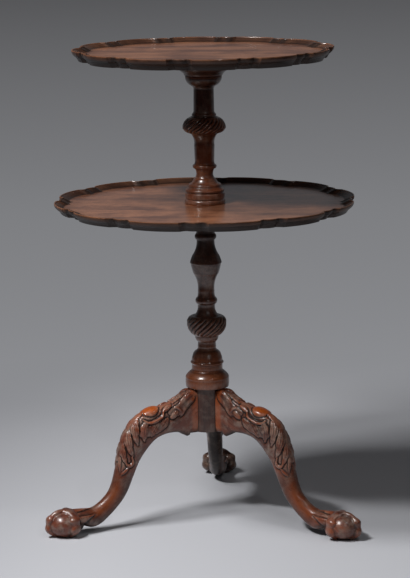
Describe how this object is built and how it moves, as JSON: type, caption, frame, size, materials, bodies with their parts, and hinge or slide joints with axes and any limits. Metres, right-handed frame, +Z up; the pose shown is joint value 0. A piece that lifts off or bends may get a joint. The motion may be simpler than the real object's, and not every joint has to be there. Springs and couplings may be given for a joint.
{
  "type": "two-tier tea table",
  "caption": "Two-tier tripod tea table: turned pillar, revolving dished tiers with piecrust rims, cabriole legs on claw-and-ball feet.",
  "frame": {"origin": "on the floor, on the axis of the turned column", "axes": "+Z up along the column; +Y towards the back leg; -Y is the front of the table"},
  "size_m": [0.5994, 0.6299, 0.914],
  "materials": {
    "mahogany_stand": "dark french-polished mahogany, carved and turned",
    "mahogany_tier": "figured mahogany board, french polished to a gloss",
    "leather_washer": "waxed vegetable-tanned leather",
    "wrought_iron": "hammered wrought iron, browned with age",
    "steel_screw": "hand-filed steel, dulled",
    "brass": "aged brass"
  },
  "bodies": {
    "stand": {"lower_column": "mahogany_stand", "leg_front_left": "mahogany_stand", "leg_front_right": "mahogany_stand", "leg_back": "mahogany_stand", "leg_strap": "wrought_iron", "leg_strap_screws": "steel_screw", "lower_tier_washer": "leather_washer", "upper_column": "mahogany_stand", "upper_tier_washer": "leather_washer", "keeper_washer": "brass", "keeper_screw": "steel_screw"},
    "lower_tier_body": {"lower_tier": "mahogany_tier"},
    "upper_tier_body": {"upper_tier": "mahogany_tier", "upper_tier_boss": "mahogany_stand", "boss_screws": "steel_screw"}
  },
  "joints": [
    {"name": "lower_tier_turn", "type": "hinge", "parent": "stand", "child": "lower_tier_body", "pos_m": [0, 0, 0.607], "axis": [0, 0, 1], "continuous": true},
    {"name": "upper_tier_turn", "type": "hinge", "parent": "stand", "child": "upper_tier_body", "pos_m": [0, 0, 0.862], "axis": [0, 0, 1], "continuous": true}
  ]
}
